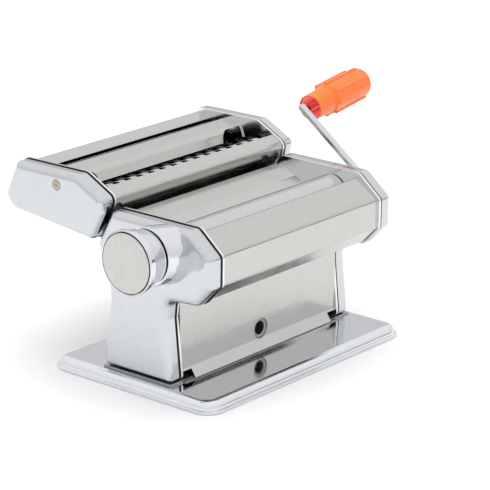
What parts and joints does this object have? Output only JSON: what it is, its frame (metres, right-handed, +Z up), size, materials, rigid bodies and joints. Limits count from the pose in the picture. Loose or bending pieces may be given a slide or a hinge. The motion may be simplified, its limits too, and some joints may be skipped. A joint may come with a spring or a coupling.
{
  "type": "pasta roller machine",
  "caption": "Hand-cranked pasta machine: smooth rollers in a chromed head, pull-out thickness knob, orange-gripped crank and a lift-off cutter head behind, on a flat base.",
  "frame": {"origin": "centre of the base plate outline, at table height", "axes": "+X along the rollers towards the crank, -Y to the front where the sheet comes out, +Y to the cutter head, +Z up"},
  "size_m": [0.3427, 0.2076, 0.1824],
  "materials": {
    "base_steel": "polished stamped sheet",
    "foot_rubber": "matt",
    "foot_strip": "ribbed satin strip",
    "bolt_steel": "zinc plated",
    "frame_steel": "bright rolled plate",
    "gasket_black": "matt",
    "cover_chrome": "bright chrome plate",
    "screw_zinc": "yellow zinc",
    "plate_steel": "polished stainless sheet",
    "socket_steel": "plain",
    "scraper_plastic": "natural nylon",
    "bush_brass": "sintered, dull",
    "knob_chrome": "turned brass, bright chrome plate",
    "knob_satin": "turned satin face",
    "rail_black": "black",
    "roller_steel": "ground and plated",
    "gear_steel": "oiled steel",
    "crank_steel": "nickel plated bar",
    "grip_plastic": "moulded, semi-gloss orange",
    "spring_steel": "bright wire"
  },
  "bodies": {
    "base": {"base_plate": "base_steel", "rubber_feet": "foot_rubber", "foot_strips": "foot_strip", "frame_bolts": "bolt_steel", "left_side_frame": "frame_steel", "right_side_frame": "frame_steel", "left_frame_gasket": "gasket_black", "right_frame_gasket": "gasket_black", "left_side_cover": "cover_chrome", "right_side_cover": "cover_chrome", "cover_screws": "screw_zinc", "tie_rods": "bolt_steel", "tie_rod_screws": "bolt_steel", "front_roller_cover": "plate_steel", "hopper_rear_plate": "plate_steel", "front_lower_wall": "plate_steel", "rear_lower_wall": "plate_steel", "clamp_socket": "socket_steel", "roller_scrapers": "scraper_plastic", "front_roller_bushes": "bush_brass", "carriage_guides": "bolt_steel", "index_ring": "knob_chrome", "head_rails": "rail_black"},
    "drive": {"front_roller": "roller_steel", "front_roller_gear": "gear_steel"},
    "crank": {"crank_shaft": "crank_steel", "crank_arm": "crank_steel", "grip_pin": "crank_steel", "grip_retainer": "bolt_steel"},
    "grip": {"handle_grip": "grip_plastic"},
    "carriage": {"left_bearing_block": "bush_brass", "right_bearing_block": "bush_brass"},
    "rear_roller_set": {"rear_roller": "roller_steel", "rear_roller_gear": "gear_steel"},
    "dial": {"dial_shaft": "crank_steel", "knob_spring": "spring_steel"},
    "knob": {"knob_body": "knob_chrome", "knob_cap": "knob_satin", "index_pin": "spring_steel"},
    "cutter_head": {"cutter_left_frame": "frame_steel", "cutter_right_frame": "frame_steel", "cutter_left_gasket": "gasket_black", "cutter_right_gasket": "gasket_black", "cutter_left_cover": "cover_chrome", "cutter_right_cover": "cover_chrome", "cutter_rear_plate": "plate_steel", "cutter_middle_plate": "plate_steel", "cutter_front_plate": "plate_steel", "cutter_tongues": "rail_black", "cutter_combs": "socket_steel", "cutter_cover_screws": "screw_zinc"},
    "wide_front": {"wide_front_roller": "roller_steel", "wide_front_gear": "gear_steel"},
    "wide_rear": {"wide_rear_roller": "roller_steel", "wide_rear_gear": "gear_steel"},
    "fine_front": {"fine_front_roller": "roller_steel", "fine_front_gear": "gear_steel"},
    "fine_rear": {"fine_rear_roller": "roller_steel", "fine_rear_gear": "gear_steel"}
  },
  "joints": [
    {"name": "roller_turn", "type": "hinge", "parent": "base", "child": "drive", "pos_m": [0, -0.05447, 0.1058], "axis": [1, 0, 0], "continuous": true},
    {"name": "crank_pull", "type": "slide", "parent": "drive", "child": "crank", "axis": [1, 0, 0], "range_m": [0, 0.03]},
    {"name": "grip_spin", "type": "hinge", "parent": "crank", "child": "grip", "pos_m": [0.117, 0.02056, 0.16275], "axis": [0.9914, 0.104, 0.0789], "continuous": true},
    {"name": "gap_slide", "type": "slide", "parent": "base", "child": "carriage", "axis": [0, -0.9744, -0.225], "range_m": [0, 0.0019]},
    {"name": "rear_roller_turn", "type": "hinge", "parent": "carriage", "child": "rear_roller_set", "pos_m": [0, -0.02667, 0.11221], "axis": [1, 0, 0], "continuous": true},
    {"name": "knob_turn", "type": "hinge", "parent": "base", "child": "dial", "pos_m": [0, -0.0276, 0.112], "axis": [1, 0, 0], "range_deg": [0, 180]},
    {"name": "knob_pull", "type": "slide", "parent": "dial", "child": "knob", "axis": [-1, 0, 0], "range_m": [0, 0.004], "stiffness_N_per_m": 900, "springref_m": -0.004},
    {"name": "head_lift", "type": "slide", "parent": "base", "child": "cutter_head", "axis": [0, -0.5408, 0.8412], "range_m": [0, 0.06]},
    {"name": "wide_turn", "type": "hinge", "parent": "cutter_head", "child": "wide_front", "pos_m": [0, 0.045, 0.1296], "axis": [1, 0, 0], "continuous": true},
    {"name": "wide_rear_turn", "type": "hinge", "parent": "cutter_head", "child": "wide_rear", "pos_m": [0, 0.0645, 0.1235], "axis": [1, 0, 0], "continuous": true},
    {"name": "fine_turn", "type": "hinge", "parent": "cutter_head", "child": "fine_front", "pos_m": [0, 0.0885, 0.1255], "axis": [1, 0, 0], "continuous": true},
    {"name": "fine_rear_turn", "type": "hinge", "parent": "cutter_head", "child": "fine_rear", "pos_m": [0, 0.1065, 0.1295], "axis": [1, 0, 0], "continuous": true}
  ],
  "couplings": [
    {"joint": "rear_roller_turn", "follows": "roller_turn", "ratio": -1},
    {"joint": "gap_slide", "follows": "knob_turn", "m_per_rad": 0.00060479},
    {"joint": "wide_rear_turn", "follows": "wide_turn", "ratio": -1},
    {"joint": "fine_rear_turn", "follows": "fine_turn", "ratio": -1}
  ]
}
